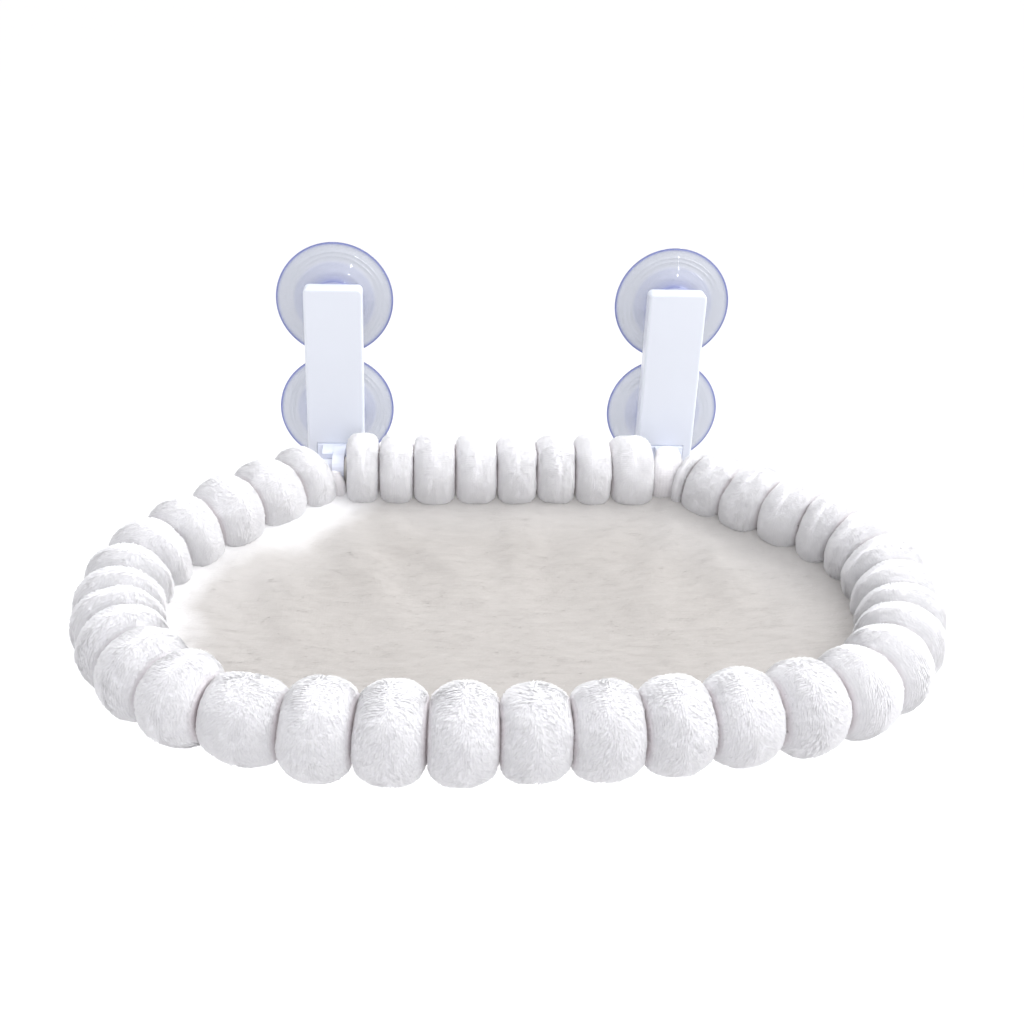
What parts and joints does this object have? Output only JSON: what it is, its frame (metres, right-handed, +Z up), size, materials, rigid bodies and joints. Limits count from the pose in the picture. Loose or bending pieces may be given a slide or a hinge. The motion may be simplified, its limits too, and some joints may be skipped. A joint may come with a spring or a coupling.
{
  "type": "cat window hammock",
  "caption": "Plush ring bed slung on a tube frame that folds up on two suction cup brackets stuck to a window.",
  "frame": {"origin": "on the window pane, midway between the four suction cups", "axes": "+X along the window, to the right seen from the room; +Y into the pane; +Z up"},
  "size_m": [0.5156, 0.3432, 0.199],
  "materials": {
    "white_abs": "moulded",
    "cover_abs": "satin",
    "clear_pvc": "clear",
    "zinc_steel": "zinc plated",
    "nylon": "natural",
    "coated_steel": "powder coated",
    "grey_nylon": "moulded",
    "plush": "long pile",
    "sheet_plush": "short pile",
    "oxford_cloth": "woven"
  },
  "bodies": {
    "brackets": {"bracket_body_left": "white_abs", "front_cover_left": "cover_abs", "hinge_bush_left": "nylon", "upper_cup_left": "clear_pvc", "upper_stud_left": "zinc_steel", "upper_washer_left": "zinc_steel", "upper_nut_left": "zinc_steel", "upper_cover_screw_left": "zinc_steel", "lower_cup_left": "clear_pvc", "lower_stud_left": "zinc_steel", "lower_washer_left": "zinc_steel", "lower_nut_left": "zinc_steel", "lower_cover_screw_left": "zinc_steel", "bracket_body_right": "white_abs", "front_cover_right": "cover_abs", "hinge_bush_right": "nylon", "upper_cup_right": "clear_pvc", "upper_stud_right": "zinc_steel", "upper_washer_right": "zinc_steel", "upper_nut_right": "zinc_steel", "upper_cover_screw_right": "zinc_steel", "lower_cup_right": "clear_pvc", "lower_stud_right": "zinc_steel", "lower_washer_right": "zinc_steel", "lower_nut_right": "zinc_steel", "lower_cover_screw_right": "zinc_steel"},
    "bed": {"back_tube": "coated_steel", "elbow_left": "grey_nylon", "left_hoop": "coated_steel", "elbow_right": "grey_nylon", "right_hoop": "coated_steel", "hoop_splice": "grey_nylon", "back_roll": "plush", "left_roll": "plush", "front_roll": "plush", "right_roll": "plush", "plush_sheet": "sheet_plush", "base_cloth": "oxford_cloth"}
  },
  "joints": [
    {"name": "bed_fold", "type": "hinge", "parent": "brackets", "child": "bed", "pos_m": [0, -0.052, -0.066], "axis": [-1, 0, 0], "range_deg": [0, 95]}
  ]
}
